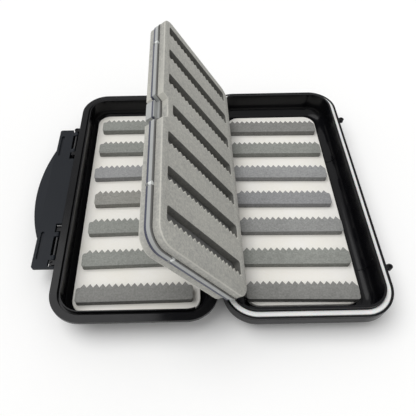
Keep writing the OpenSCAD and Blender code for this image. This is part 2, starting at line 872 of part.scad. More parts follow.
// Openings for the lid's lug and ear and for the bare stretch of pin.
module latch_rooms() {
  lug_end = barrel_1;
  win_0 = barrel_1 + latch_barrel_l;
  win_1 = ear_y - ear_r - ear_gap - latch_barrel_l;
  translate([-latch_back - e, lug_y - lug_l / 2 - lug_room])
    square([latch_back + e + room_out, lug_end - lug_y + lug_l / 2 + lug_room]);
  translate([-latch_back - e, win_0])
    square([latch_back + e + room_out, win_1 - win_0]);
  translate([-latch_back - e, ear_y - ear_r - ear_gap])
    square([latch_back + e + ear_r + ear_room, 2 * ear_r + 2 * ear_gap]);
  // the plate stays off the rim beside the barrels
  translate([-latch_back - e, lug_end - 0.1])
    square([latch_back + e, ear_y - ear_r - ear_gap - lug_end + 0.2]);
}

module latch() {
  win_1 = ear_y - ear_r - ear_gap - latch_barrel_l;
  color([0.16, 0.17, 0.2])
    translate([latch_x, 0, latch_z])
      difference() {
        union() {
          mirror([1, 0, 0])
            translate([0, 0, -latch_t / 2])
              linear_extrude(latch_t)
                difference() {
                  latch_outline();
                  latch_rooms();
                  mirror([0, 1])
                    latch_rooms();
                }
          both_ends() {
            along_y(latch_barrel_r, barrel_1, barrel_1 + latch_barrel_l);
            along_y(latch_barrel_r, win_1, win_1 + latch_barrel_l);
          }
        }
        both_ends() {
          along_y(latch_pin_r + latch_run, barrel_1 - 0.1, barrel_1 + latch_barrel_l + 0.1);
          along_y(latch_pin_r + latch_run, win_1 - 0.1, win_1 + latch_barrel_l + 0.1);
        }
        // catch grooves
        for (s = [-1, 1])
          translate([-catch_reach, s * catch_mid - latch_shift, latch_t / 2 - catch_d])
            linear_extrude(catch_d + e)
              union() {
                square([catch_w, catch_l - catch_w], center = true);
                for (t = [-1, 1])
                  translate([0, t * (catch_l - catch_w) / 2])
                    circle(catch_w / 2);
              }
        // bevel on the thumb arc
        translate([-latch_w - bevel_in, -latch_shift - latch_half, latch_t / 2])
          rotate([0, -thumb_slope, 0])
            translate([-thumb_reach, 0, 0])
              cube([thumb_reach, 2 * latch_half, 2 * latch_t]);
      }
}

base_shell();
base_gasket();
base_liner();
base_strip(1);  // base_strip_1
base_strip(2);  // base_strip_2
base_strip(3);  // base_strip_3
base_strip(4);  // base_strip_4
base_strip(5);  // base_strip_5
base_strip(6);  // base_strip_6
base_strip(7);  // base_strip_7
hinge_pins();
leaf_plate_front();
leaf_plate_back();
leaf_pad_front();
leaf_pad_back();
leaf_rivets();
lid_shell();
lid_liner();
lid_strip(1);  // lid_strip_1
lid_strip(2);  // lid_strip_2
lid_strip(3);  // lid_strip_3
lid_strip(4);  // lid_strip_4
lid_strip(5);  // lid_strip_5
lid_strip(6);  // lid_strip_6
lid_strip(7);  // lid_strip_7
latch_pins();
latch();
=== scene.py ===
import json
import math

import bmesh
import bpy
from bpy.props import FloatProperty, FloatVectorProperty, IntProperty, PointerProperty
from mathutils import Matrix, Vector


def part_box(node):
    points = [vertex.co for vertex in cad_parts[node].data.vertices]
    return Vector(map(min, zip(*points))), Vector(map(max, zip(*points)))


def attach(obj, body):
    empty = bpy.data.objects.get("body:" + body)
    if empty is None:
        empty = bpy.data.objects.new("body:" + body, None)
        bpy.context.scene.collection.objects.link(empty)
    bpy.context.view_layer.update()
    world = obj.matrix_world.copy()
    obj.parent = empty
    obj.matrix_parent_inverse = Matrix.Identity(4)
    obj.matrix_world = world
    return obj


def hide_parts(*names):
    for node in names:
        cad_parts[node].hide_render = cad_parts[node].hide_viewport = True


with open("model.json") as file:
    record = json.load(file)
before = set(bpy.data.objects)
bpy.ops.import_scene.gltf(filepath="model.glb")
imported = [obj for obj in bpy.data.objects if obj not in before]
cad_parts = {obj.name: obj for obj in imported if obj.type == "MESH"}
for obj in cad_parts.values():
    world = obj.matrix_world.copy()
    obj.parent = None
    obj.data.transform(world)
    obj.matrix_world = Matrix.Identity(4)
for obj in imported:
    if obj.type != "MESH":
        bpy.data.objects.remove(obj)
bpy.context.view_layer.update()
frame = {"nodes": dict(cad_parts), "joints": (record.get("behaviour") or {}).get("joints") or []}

bl_info = {
    "name": "Pocket case dressing",
    "version": (1, 0, 0),
    "blender": (4, 5, 0),
    "location": "3D View > Sidebar > Pocket case",
    "description": "Foam, seal, liners and finishes for a two-part pocket case with a swing leaf",
    "category": "Object",
}

# Pieces are drawn in millimetres in the case's own frame, and scaled once.
MM = 0.001
NEAR = 1e-4                   # a point this near a level lies on it, in mm
MERGE = 0.002                 # points this near each other become one, in mm
FACE_SLACK = 0.02             # a shaded band reaches this far past a face, in mm
IMAGE_SIZE = 416              # pixels, square
JOINTS = {joint["name"]: joint for joint in frame["joints"]}


def box_mm(node):
    """Lowest and highest corners of a node at rest, in millimetres."""
    low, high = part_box(node)
    return Vector(low) / MM, Vector(high) / MM


def mm(length):
    """A setting's length in millimetres."""
    return length / MM


# ------------------------------------------------------------------ settings

class FoamSettings(bpy.types.PropertyGroup):
    """Foam strips and pads."""
    cut_edge: FloatProperty(
        name="Cut edge", description="Rounding of the die-cut foam edges",
        default=0.00028, unit="LENGTH")
    slot_edge: FloatProperty(
        name="Slot edge", description="Rounding of the edges of the pads' slots",
        default=0.00045, unit="LENGTH")
    pad_edge: FloatProperty(
        name="Pad edge", description="Rounding of the leaf pads' outer edge",
        default=0.0007, unit="LENGTH")
    waist: FloatProperty(
        name="Waist", description="How far the strips' cut sides draw in at half height",
        default=0.00016, unit="LENGTH")
    foot: FloatProperty(
        name="Foot", description="Height of the shaded foot where foam meets its sheet",
        default=0.0003, unit="LENGTH")
    strip_side: FloatProperty(
        name="Strip side", description="Shade of the strips' cut sides", default=0.82)
    slot_side: FloatProperty(
        name="Slot side", description="Shade of the cut sides inside the pads' slots", default=0.3)
    strip_colour: FloatVectorProperty(
        name="Strip colour", description="Foam of the strips", subtype="COLOR",
        default=(0.29, 0.292, 0.285))
    pad_colour: FloatVectorProperty(
        name="Pad colour", description="Foam of the leaf pads", subtype="COLOR",
        default=(0.43, 0.428, 0.412))
    cell_size: FloatProperty(
        name="Cell size", description="Size of the foam's cells", default=0.0004, unit="LENGTH")


class SealSettings(bpy.types.PropertyGroup):
    """Rim seal and tray liners."""
    rim_corner: FloatProperty(
        name="Rim corner", description="Outer corner radius of the rim",
        default=0.0178, unit="LENGTH")
    seal_width: FloatProperty(
        name="Seal width", description="Width of the seal", default=0.003, unit="LENGTH")
    seal_crown: FloatProperty(
        name="Seal crown", description="Rounding of the seal's top edges",
        default=0.0009, unit="LENGTH")
    seal_steps: IntProperty(
        name="Seal steps", description="Segments in each corner of the seal", default=16)
    crown_steps: IntProperty(
        name="Crown steps", description="Segments in each rounded edge of the seal", default=5)
    seal_colour: FloatVectorProperty(
        name="Seal colour", description="Rubber of the seal", subtype="COLOR",
        default=(0.84, 0.84, 0.83))
    liner_corner: FloatProperty(
        name="Liner corner", description="Corner radius of the liners",
        default=0.0085, unit="LENGTH")
    liner_edge: FloatProperty(
        name="Liner edge", description="Rounding of the liners' top edge",
        default=0.0005, unit="LENGTH")
    liner_steps: IntProperty(
        name="Liner steps", description="Segments in each corner of the liners", default=12)
    liner_colour: FloatVectorProperty(
        name="Liner colour", description="Foam sheet of the liners", subtype="COLOR",
        default=(0.945, 0.93, 0.895))


class PlasticSettings(bpy.types.PropertyGroup):
    """Moulded and metal pieces."""
    shell_colour: FloatVectorProperty(
        name="Shell colour", description="Black plastic of the halves", subtype="COLOR",
        default=(0.004, 0.004, 0.005))
    latch_colour: FloatVectorProperty(
        name="Latch colour", description="Dark plastic of the latch", subtype="COLOR",
        default=(0.009, 0.011, 0.015))
    clear_colour: FloatVectorProperty(
        name="Clear colour", description="Clear plastic of the leaf's plates", subtype="COLOR",
        default=(0.42, 0.432, 0.425))
    # Painted shade on the plates' front face; in the slots it also stands for the foam seen
    # through.
    shade_and_foam_behind: FloatVectorProperty(
        name="Foam behind", description="Front face of the plates, with foam showing through",
        subtype="COLOR", default=(0.2, 0.2, 0.195))
    clear_shade: FloatVectorProperty(
        name="Clear shade", description="Shaded back edge of the leaf's plates", subtype="COLOR",
        default=(0.055, 0.06, 0.095))
    # Depth of that painted shade and foam colour in the plates' front face.
    clear_skin: FloatProperty(
        name="Clear skin", description="Depth of the plates' front face that shows the foam",
        default=0.0003, unit="LENGTH")
    shade_width: FloatProperty(
        name="Shade width", description="Width of the shaded back edge",
        default=0.0012, unit="LENGTH")
    pin_colour: FloatVectorProperty(
        name="Pin colour", description="Dark pins of the latch", subtype="COLOR",
        default=(0.02, 0.02, 0.022))
    wire_colour: FloatVectorProperty(
        name="Wire colour", description="Steel of the hinge pins", subtype="COLOR",
        default=(0.6, 0.6, 0.62))
    edge_round: FloatProperty(
        name="Edge round", description="Rounding that catches light on moulded edges",
        default=0.0003, unit="LENGTH")


class StageSettings(bpy.types.PropertyGroup):
    """Camera, floor and light."""
    camera_place: FloatVectorProperty(
        name="Camera place", description="Where the camera stands", subtype="TRANSLATION",
        unit="LENGTH", default=(-0.0646, -0.1742, 0.2286))
    camera_aim: FloatVectorProperty(
        name="Camera aim", description="Direction that the camera looks in", subtype="DIRECTION",
        default=(0.0006, 0.5802, -0.8145))
    camera_roll: FloatProperty(
        name="Camera roll", description="Turn about the line of sight",
        subtype="ANGLE", default=math.radians(-1.08))
    focal_pixels: FloatProperty(
        name="Focal length", description="Focal length in pixels of the image", default=426.94)
    centre_x: FloatProperty(
        name="Centre across", description="Principal point from the image's left", default=187.81)
    centre_y: FloatProperty(
        name="Centre down", description="Principal point from the image's top", default=215.72)
    floor_reach: FloatProperty(
        name="Floor reach", description="Half the floor's side", default=3.0, unit="LENGTH")
    floor_gap: FloatProperty(
        name="Floor gap", description="How far the floor lies below the case",
        default=0.0001, unit="LENGTH")
    floor_colour: FloatVectorProperty(
        name="Floor colour", description="Plain pale floor", subtype="COLOR",
        default=(0.99, 0.99, 0.985))
    ambient: FloatProperty(
        name="Ambient", description="Strength of the surrounding light", default=0.58)
    key_aim: FloatVectorProperty(
        name="Key direction", description="Where the main light comes from",
        subtype="DIRECTION", default=(-0.4, 0.12, 0.91))
    key_strength: FloatProperty(
        name="Key strength", description="Strength of the main light", default=1.55)
    key_width: FloatProperty(
        name="Key width", description="How wide the main light looks", subtype="ANGLE",
        default=math.radians(50.0))


# ------------------------------------------------------------------ mesh helpers

def new_piece(bm, name, body, material, sharp=38.0):
    """Makes a piece from a bmesh drawn in millimetres, at the origin, riding on a body.

    Edges sharper than the angle sharp, in degrees, stay crisp.
    """
    bmesh.ops.scale(bm, vec=(MM, MM, MM), verts=bm.verts)
    bmesh.ops.recalc_face_normals(bm, faces=bm.faces)
    mesh = bpy.data.meshes.new(name)
    bm.to_mesh(mesh)
    bm.free()
    mesh.materials.append(material)
    for face in mesh.polygons:
        face.use_smooth = True
    mesh.set_sharp_from_angle(angle=math.radians(sharp))
    piece = bpy.data.objects.new(name, mesh)
    bpy.context.scene.collection.objects.link(piece)
    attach(piece, body)
    return piece


def node_copy(node):
    """A node's mesh, merged and with its flat faces joined, in millimetres."""
    bm = bmesh.new()
    bm.from_mesh(frame["nodes"][node].data)
    bmesh.ops.scale(bm, vec=(1 / MM, 1 / MM, 1 / MM), verts=bm.verts)
    bmesh.ops.remove_doubles(bm, verts=bm.verts, dist=MERGE)
    bmesh.ops.dissolve_limit(bm, angle_limit=math.radians(0.5), verts=bm.verts, edges=bm.edges)
    return bm


def mark_faces(bm, name, level):
    """Stores a level for each face in an attribute that the foam's material reads."""
    bmesh.ops.recalc_face_normals(bm, faces=bm.faces)
    layer = bm.faces.layers.float.new(name)
    for face in bm.faces:
        face[layer] = level(face)


def is_steep(face):
    """True for a cut side, and not for a top, a foot or a rounded edge's upper part."""
    return abs(face.normal.z) < 0.7


def sheet_of(bm, width, length):
    """One rectangular face, centred on the origin, ready for its corners to be rounded."""
    made = bmesh.ops.create_grid(bm, x_segments=1, y_segments=1, size=0.5)
    bmesh.ops.scale(bm, vec=(width, length, 1), verts=made["verts"])
    return made["verts"]


def round_corners(bm, corners, radius, segments):
    """Rounds the corners of a flat outline."""
    bmesh.ops.bevel(bm, geom=corners, offset=radius, affect="VERTICES", segments=segments,
                    profile=0.5, material=-1)


def raise_faces(bm, height):
    """Turns a flat outline into a closed block of the given height."""
    made = bmesh.ops.extrude_face_region(bm, geom=bm.faces[:], use_keep_orig=True)
    top = [item for item in made["geom"] if isinstance(item, bmesh.types.BMVert)]
    bmesh.ops.translate(bm, vec=(0, 0, height), verts=top)
    bmesh.ops.recalc_face_normals(bm, faces=bm.faces)


def edges_at(bm, height, sharp=50.0):
    """Level edges at a height whose faces turn by more than the angle sharp, in degrees."""
    return [edge for edge in bm.edges
            if len(edge.link_faces) == 2 and edge.calc_face_angle(0) >= math.radians(sharp)
            and all(abs(vert.co.z - height) < NEAR for vert in edge.verts)]


def soften(bm, edges, radius, segments=2, clamp=True):
    """Rounds edges. Without clamp, short edges beside them don't hold the rounding back."""
    bmesh.ops.bevel(bm, geom=edges, offset=radius, affect="EDGES", segments=segments,
                    profile=0.5, material=-1, clamp_overlap=clamp)


# ------------------------------------------------------------------ material helpers

# Cosine between a face and its rounded normal where an edge starts and is full.
EDGE_FACING = (0.97, 0.80)
# Levels between which most of a noise lies.
NOISE_RANGE = (0.3, 0.7)


class Finish:
    """A node material under construction."""

    def __init__(self, name):
        self.material = bpy.data.materials.get(name) or bpy.data.materials.new(name)
        self.material.use_nodes = True
        self.nodes = self.material.node_tree.nodes
        self.links = self.material.node_tree.links
        self.nodes.clear()
        self.shader = self.nodes.new("ShaderNodeBsdfPrincipled")
        output = self.nodes.new("ShaderNodeOutputMaterial")
        self.links.new(self.shader.outputs["BSDF"], output.inputs["Surface"])
        self.place = self.nodes.new("ShaderNodeTexCoord").outputs["Object"]

    def set(self, **values):
        """Sets constant values on the shader's own sockets."""
        for key, value in values.items():
            self.shader.inputs[key.replace("_", " ")].default_value = value
        return self

    def node(self, kind, values=None, **options):
        """A new node with its options set, and its inputs linked or given a value."""
        made = self.nodes.new(kind)
        for key, value in options.items():
            setattr(made, key, value)
        for key, value in (values or {}).items():
            if isinstance(value, bpy.types.NodeSocket):
                self.links.new(value, made.inputs[key])
            else:
                made.inputs[key].default_value = value
        return made

    def noise(self, size, detail=3.0, roughness=0.5):
        """Noise with features about this large, in metres."""
        made = self.node("ShaderNodeTexNoise", {
            "Vector": self.place, "Scale": 1.0 / size, "Detail": detail,
            "Roughness": roughness})
        return made.outputs["Fac"]

    def cells(self, size):
        """Distance to the middle of the nearest cell, with cells about this large."""
        made = self.node("ShaderNodeTexVoronoi", {"Vector": self.place, "Scale": 1.0 / size})
        return made.outputs["Distance"]

    def remap(self, value, low, high, to_low, to_high):
        """Carries the range low to high over to another one, and holds what lies outside."""
        made = self.node("ShaderNodeMapRange", {
            "Value": value, "From Min": low, "From Max": high, "To Min": to_low,
            "To Max": to_high})
        return made.outputs["Result"]

    def spread(self, noise, to_low=0.0, to_high=1.0):
        """Carries a noise's usual range over to another one."""
        return self.remap(noise, *NOISE_RANGE, to_low, to_high)

    def maths(self, operation, *values):
        """A Math node's result."""
        made = self.node("ShaderNodeMath", dict(enumerate(values)), operation=operation)
        return made.outputs["Value"]

    def band(self, value, low, high):
        """One where the value lies between two levels, and nothing elsewhere."""
        return self.maths("COMPARE", value, (low + high) / 2, (high - low) / 2)

    def along(self, direction):
        """Distance of the surface along a direction of the case's frame, in metres."""
        made = self.node("ShaderNodeVectorMath", {0: self.place, 1: direction},
                         operation="DOT_PRODUCT")
        return made.outputs["Value"]

    def edges(self, radius, samples=6):
        """Rounded normal, and a factor that is one on sharp edges."""
        rounded = self.node("ShaderNodeBevel", {"Radius": radius}, samples=samples)
        true_normal = self.node("ShaderNodeNewGeometry").outputs["True Normal"]
        facing = self.node("ShaderNodeVectorMath", {0: rounded.outputs["Normal"], 1: true_normal},
                           operation="DOT_PRODUCT")
        edge = self.remap(facing.outputs["Value"], *EDGE_FACING, 0.0, 1.0)
        return rounded.outputs["Normal"], edge

    def tint(self, factor, dark, light):
        """Mixes two colours by a factor."""
        sockets = {"Factor": factor}
        for index, colour in ((6, dark), (7, light)):    # the node's colour inputs, A and B
            plain = not isinstance(colour, bpy.types.NodeSocket)
            sockets[index] = (*colour, 1.0) if plain else colour
        return self.node("ShaderNodeMix", sockets, data_type="RGBA").outputs[2]

    def attribute(self, name):
        """A level that the mesh holds for each face."""
        return self.node("ShaderNodeAttribute", attribute_name=name).outputs["Fac"]

    def bump(self, height, strength, distance, normal=None):
        """The normal of a surface raised by a pattern, on top of another normal if given."""
        values = {"Height": height, "Strength": strength, "Distance": distance}
        if normal:
            values["Normal"] = normal
        return self.node("ShaderNodeBump", values).outputs["Normal"]

    def use(self, **sockets):
        """Links patterns to the shader's sockets."""
        for key, socket in sockets.items():
            self.links.new(socket, self.shader.inputs[key.replace("_", " ")])
        return self.material


def scaled(colour, factor):
    """A colour made darker or lighter."""
    return tuple(min(1.0, part * factor) for part in colour)


# Tones of the foam against its plain colour: speckle, painted edge highlight, painted foot shade.
SPECKLE_DARK, SPECKLE_LIGHT = 0.72, 1.28
EDGE_HIGHLIGHT = 1.7
FOOT_SHADE = 0.16
WARM_SHIFT = (0.5, 0.3, -1.0)     # how warm foam's light speckle moves red, green and blue


def foam_finish(name, colour, cell, foot, side, warm=0.0):
    """Fine-celled foam: speckled colour, open cells, painted edge highlights and a dry surface.

    foot holds a direction and two levels along it; between them deep shade is painted.
    side is the painted shade of the faces that hold the attribute cut_side, and faces marked
    for an edge highlight get as much painted highlight as a cut edge.
    """
    foam = Finish(name).set(Roughness=0.92, Specular_IOR_Level=0.25)
    speckle = foam.noise(cell * 2.6, detail=2.0, roughness=0.7)
    mottle = foam.noise(cell * 6.0, detail=2.0)
    patch = foam.noise(0.03, detail=2.0)
    grain = foam.maths("ADD", foam.spread(speckle, 0.0, 0.6),
                       foam.spread(mottle, 0.0, 0.25))
    grain = foam.maths("ADD", grain, foam.spread(patch, 0.0, 0.15))
    light = tuple(part * (1.0 + warm * shift) for part, shift in zip(colour, WARM_SHIFT))
    shade = foam.tint(grain, scaled(colour, SPECKLE_DARK), scaled(light, SPECKLE_LIGHT))
    cut = foam.tint(grain, scaled(colour, SPECKLE_DARK * side),
                    scaled(light, SPECKLE_LIGHT * side))
    shade = foam.tint(foam.attribute("cut_side"), shade, cut)
    # Painted highlight: a little on every sharp edge, and full on the faces marked for it.
    edge = foam.maths("MULTIPLY", foam.edges(cell, samples=4)[1], 0.55)
    pale = foam.maths("MAXIMUM", edge, foam.attribute("painted_edge_highlight"))
    shade = foam.tint(pale, shade, scaled(light, EDGE_HIGHLIGHT))
    direction, low, high = foot
    in_foot = foam.band(foam.along(direction), low, high)
    shade = foam.tint(in_foot, shade, scaled(colour, FOOT_SHADE))
    height = foam.maths("ADD", foam.cells(cell), foam.remap(speckle, 0.0, 1.0, 0.0, 0.8))
    return foam.use(Base_Color=shade, Normal=foam.bump(height, 0.55, cell * 0.5))


LINER_FADE = (0.96, 0.945, 0.90)  # dull patches of a liner, against its plain colour


def liner_finish(settings):
    """Off-white closed foam sheet with a faint grain and a few dull patches."""
    liner = Finish("liner_sheet").set(Roughness=0.7, Specular_IOR_Level=0.3)
    patch = liner.noise(0.022, detail=3.0)
    grain = liner.noise(0.0011, detail=3.0)
    mixed = liner.maths("ADD", liner.spread(patch, 0.0, 0.65),
                        liner.spread(grain, 0.0, 0.35))
    colour = tuple(settings.liner_colour)
    yellowed = tuple(part * fade for part, fade in zip(colour, LINER_FADE))
    shade = liner.tint(mixed, yellowed, colour)
    return liner.use(Base_Color=shade, Normal=liner.bump(grain, 0.25, 0.0001))


def seal_finish(settings):
    """Smooth pale rubber that dulls a little along its length."""
    seal = Finish("seal_rubber").set(Roughness=0.38, Specular_IOR_Level=0.5,
                                     Subsurface_Weight=0.1, Subsurface_Scale=0.001)
    patch = seal.noise(0.012, detail=4.0)
    grain = seal.noise(0.0006, detail=2.0)
    colour = tuple(settings.seal_colour)
    shade = seal.tint(seal.spread(patch), scaled(colour, 0.88), colour)
    return seal.use(Base_Color=shade, Normal=seal.bump(grain, 0.12, 0.00005))


def moulded_finish(name, colour, edge_round, gloss, rough, wave):
    """Moulded plastic: uneven gloss, faint texture and rounded edges with a painted highlight.

    gloss is the strength of its reflections, rough their range of blur, and wave the
    unevenness of the surface.
    """
    plastic = Finish(name).set(Specular_IOR_Level=gloss)
    round_normal, edge = plastic.edges(edge_round)
    patch = plastic.noise(0.016, detail=4.0, roughness=0.6)
    scuff = plastic.noise(0.0017, detail=5.0, roughness=0.7)
    # Painted highlight: a paler colour along the edges, broken up by the scuff noise.
    edge_glint = plastic.maths("MULTIPLY", edge, plastic.remap(scuff, 0.35, 0.65, 0.25, 1.0))
    dull = plastic.maths("ADD", plastic.spread(patch, *rough),
                         plastic.remap(scuff, 0.4, 0.8, 0.0, 0.06))
    glint_colour = tuple(part * 2.2 + 0.012 for part in colour)
    shade = plastic.tint(edge_glint, colour, glint_colour)
    texture = plastic.noise(0.0005, detail=2.0)
    normal = plastic.bump(patch, wave, 0.0006, round_normal)
    normal = plastic.bump(texture, 0.04, 0.00005, normal)
    return plastic.use(Base_Color=shade, Roughness=dull, Normal=normal)


def clear_finish(name, colour, direction, bands, haze, clearness):
    """Clear moulded plastic, hazy, with shaded bands between levels along a direction.

    Each band is its lower level, its upper level and its colour.
    """
    clear = Finish(name).set(IOR=1.49, Transmission_Weight=clearness, Specular_IOR_Level=0.4)
    streak = clear.noise(0.008, detail=3.0)
    scratch = clear.noise(0.0009, detail=4.0)
    shade = clear.tint(clear.spread(streak), scaled(colour, 0.9), colour)
    for low, high, tone in bands:
        shade = clear.tint(clear.band(clear.along(direction), low, high), shade, tone)
    dull = clear.spread(scratch, haze * 0.6, haze * 1.6)
    return clear.use(Base_Color=shade, Roughness=dull,
                     Normal=clear.bump(scratch, 0.08, 0.00008))


def metal_finish(name, colour):
    """Drawn wire with fine marks along its length."""
    metal = Finish(name).set(Metallic=1.0)
    marks = metal.noise(0.0005, detail=4.0)
    shade = metal.tint(metal.spread(marks), scaled(colour, 0.75), colour)
    return metal.use(Base_Color=shade, Roughness=metal.spread(marks, 0.25, 0.45),
                     Normal=metal.bump(marks, 0.1, 0.00004))


def paint_node(node, material):
    """Gives a CAD node its finish through its material slots."""
    piece = frame["nodes"][node]
    if not piece.material_slots:
        raise RuntimeError(node + " has no material slot")
    for held in piece.material_slots:
        held.link = "OBJECT"
        held.material = material


# ------------------------------------------------------------------ foam strips

# Strips' foam differs a little in tint and brightness, from one strip to the next.
FOAM_TONES = {
    "plain": (1.0, 1.0, 1.0),
    "cool": (1.0, 1.0, 1.04),
    "pale": (1.12, 1.12, 1.15),
    "green": (0.975, 0.995, 0.945),
    "warm": (1.02, 1.0, 0.94),
    "dull": (0.85, 0.84, 0.82),
}
# Tone of each strip, from the near end; pale and dull make a strip lighter or darker.
STRIP_TONES = {
    "base": ("dull", "green", "plain", "cool", "pale", "green", "dull"),
    "lid": ("dull", "green", "green", "warm", "pale", "green", "green"),
}


def make_strip(tray, number, foam, material):
    """A die-cut strip on the CAD piece's outline, with a waist and soft top edges."""
    node = tray + "_strip_" + str(number)
    low, high = box_mm(node)
    bm = node_copy(node)
    upright = [edge for edge in bm.edges
               if abs(edge.verts[0].co.z - edge.verts[1].co.z) > (high.z - low.z) / 2]
    bmesh.ops.subdivide_edges(bm, edges=upright, cuts=1, use_grid_fill=True)
    draw_in(bm, (low.z + high.z) / 2, mm(foam.waist))
    soften(bm, edges_at(bm, high.z), mm(foam.cut_edge))
    mark_faces(bm, "cut_side", lambda face: float(is_steep(face)))
    piece = new_piece(bm, tray + "_foam_" + str(number), tray, material)
    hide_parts(node)


def draw_in(bm, level, amount):
    """Pulls the ring of vertices at a level inwards, as a die pinches soft foam."""
    bm.normal_update()
    for vert in bm.verts:
        outward = Vector((vert.normal.x, vert.normal.y, 0))
        if abs(vert.co.z - level) < NEAR and outward.length > 0.1:
            vert.co -= outward.normalized() * amount


class FLYCASE_OT_strips(bpy.types.Operator):
    """Make the saw-toothed foam strips of both trays"""
    bl_idname = "flycase.strips"
    bl_label = "Foam strips"

    def execute(self, context):
        foam = context.scene.flycase_foam
        for tray, tone_names in STRIP_TONES.items():
            level = box_mm(tray + "_strip_1")[0].z
            foot = ((0, 0, 1), (level - FACE_SLACK) * MM, (level + mm(foam.foot)) * MM)
            made = {}
            for number, tone_name in enumerate(tone_names, start=1):
                if tone_name not in made:
                    tints = zip(foam.strip_colour, FOAM_TONES[tone_name])
                    colour = tuple(part * tint for part, tint in tints)
                    made[tone_name] = foam_finish("_".join(("foam", tray, tone_name)), colour,
                                              foam.cell_size, foot, foam.strip_side)
                make_strip(tray, number, foam, made[tone_name])
        return {"FINISHED"}


# ------------------------------------------------------------------ leaf

# Zones of a pad, in millimetres.
SLOT_BORDER = 2.2             # the slots keep this far off the outer edges
CORNER_REACH = 9.0            # stretch of each edge that belongs to a corner
CORNER_BAND = 1.0             # width of the rim round a corner
NOTCH_DEPTH = 4.8             # the finger notch, from the free edge
NOTCH_HALF = 11.0             # the finger notch, from the leaf's middle

# What tells a pad's faces apart: their normals, along the leaf's own axes.
ROUNDED = (0.15, 0.95)        # through the thickness, on a rounded edge
TOOTHED_SIDE = 0.2            # along the hinge, at least, on a slot's toothed side
NOTCH_WALL = -0.3             # along the hinge, at most, on the notch's far wall

RIM_SHADE = 0.1               # shade of a pad's outer sides, where one is a slot's
TIP_HIGHLIGHT = 0.9                # painted highlight on the teeth's edges
RIM_HIGHLIGHT = 0.4                # painted highlight on the outer edge


def leaf_frame():
    """Place of the leaf, in millimetres: x from its pivot to the free edge, z to its back."""
    hinge = JOINTS["leaf_hinge"]
    pivot = Vector(hinge["pos_m"]) / MM
    open_angle = math.radians(hinge["range_deg"][1])
    return Matrix.Translation(pivot) @ Matrix.Rotation(-open_angle, 4, "Y")


def leaf_levels(node):
    """Lowest and highest level of a node through the leaf's thickness, in millimetres."""
    turn = leaf_frame().inverted()
    levels = [(turn @ (vert.co / MM)).z for vert in frame["nodes"][node].data.vertices]
    return min(levels), max(levels)


def leaf_depth():
    """Direction of the leaf's thickness, towards its back."""
    return (leaf_frame().to_3x3() @ Vector((0, 0, 1))).normalized()


def leaf_level(level):
    """A level through the leaf's thickness, measured from the frame's origin in metres."""
    return (leaf_frame().translation.dot(leaf_depth()) + level) * MM


def make_pad(node, foam, material):
    """A leaf pad with soft outer edges and crisper cut slots."""
    bm = node_copy(node)
    leaf = leaf_frame()
    bmesh.ops.transform(bm, matrix=leaf.inverted(), verts=bm.verts)
    low = Vector(map(min, *(v.co for v in bm.verts)))
    high = Vector(map(max, *(v.co for v in bm.verts)))
    core_z, skin_z = sorted((low.z, high.z), key=abs)
    rim, slots = [], []
    for edge in edges_at(bm, skin_z):
        middle = (edge.verts[0].co + edge.verts[1].co) / 2
        (slots if in_slots(middle, low, high) else rim).append(edge)
    soften(bm, rim, mm(foam.pad_edge), segments=3)
    soften(bm, [edge for edge in slots if edge.is_valid], mm(foam.slot_edge), clamp=False)
    soften(bm, edges_at(bm, core_z), mm(foam.cut_edge), segments=1)
    mark_faces(bm, "cut_side", lambda face: pad_shade(face, low, high))
    mark_faces(bm, "painted_edge_highlight", lambda face: pad_highlight(face, low, high))
    bmesh.ops.transform(bm, matrix=leaf, verts=bm.verts)
    piece = new_piece(bm, node.replace("leaf_pad", "leaf_foam"), "leaf", material)
    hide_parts(node)


def pad_shade(face, low, high):
    """How deep in shade a pad's face lies: most in the slots and on the notch's far wall."""
    if not is_steep(face):
        return 0.0
    point = face.calc_center_median()
    notch_wall = in_notch(point, high) and face.normal.y < NOTCH_WALL
    return 1.0 if notch_wall or in_slots(point, low, high) else RIM_SHADE


def pad_highlight(face, low, high):
    """How much painted highlight a pad's rounded edge gets: slot tooth tips, and the outer rim."""
    if not ROUNDED[0] < abs(face.normal.z) < ROUNDED[1]:
        return 0.0
    if in_slots(face.calc_center_median(), low, high):
        return TIP_HIGHLIGHT if face.normal.y > TOOTHED_SIDE else 0.0
    return RIM_HIGHLIGHT


def in_slots(point, low, high):
    """True in the field of slots, and not on a pad's outer rim or in its notch."""
    return (low.x + SLOT_BORDER < point.x < high.x - SLOT_BORDER
            and low.y + SLOT_BORDER < point.y < high.y - SLOT_BORDER
            and not on_corner(point, low, high) and not in_notch(point, high))


def on_corner(point, low, high):
    """True on the rim round a pad's outer corners."""
    from_x = CORNER_REACH - min(point.x - low.x, high.x - point.x)
    from_y = CORNER_REACH - min(point.y - low.y, high.y - point.y)
    return (from_x > 0 and from_y > 0
            and math.hypot(from_x, from_y) > CORNER_REACH - CORNER_BAND)


def in_notch(point, high):
    """True in the finger notch of a pad's free edge."""
    return high.x - point.x < NOTCH_DEPTH and abs(point.y) < NOTCH_HALF


class FLYCASE_OT_leaf_pads(bpy.types.Operator):
    """Make the foam pads on both faces of the swing leaf"""
    bl_idname = "flycase.leaf_pads"
    bl_label = "Leaf pads"

    def execute(self, context):
        foam = context.scene.flycase_foam
        for node in ("leaf_pad_front", "leaf_pad_back"):
            core, skin = sorted(leaf_levels(node), key=abs)
            shaded = core + math.copysign(mm(foam.foot), skin - core)
            foot = (leaf_depth(), *sorted((leaf_level(core), leaf_level(shaded))))
            material = foam_finish(node.replace("leaf_pad", "pad_foam"), tuple(foam.pad_colour),
                                   foam.cell_size, foot, foam.slot_side, warm=0.05)
            make_pad(node, foam, material)
        return {"FINISHED"}


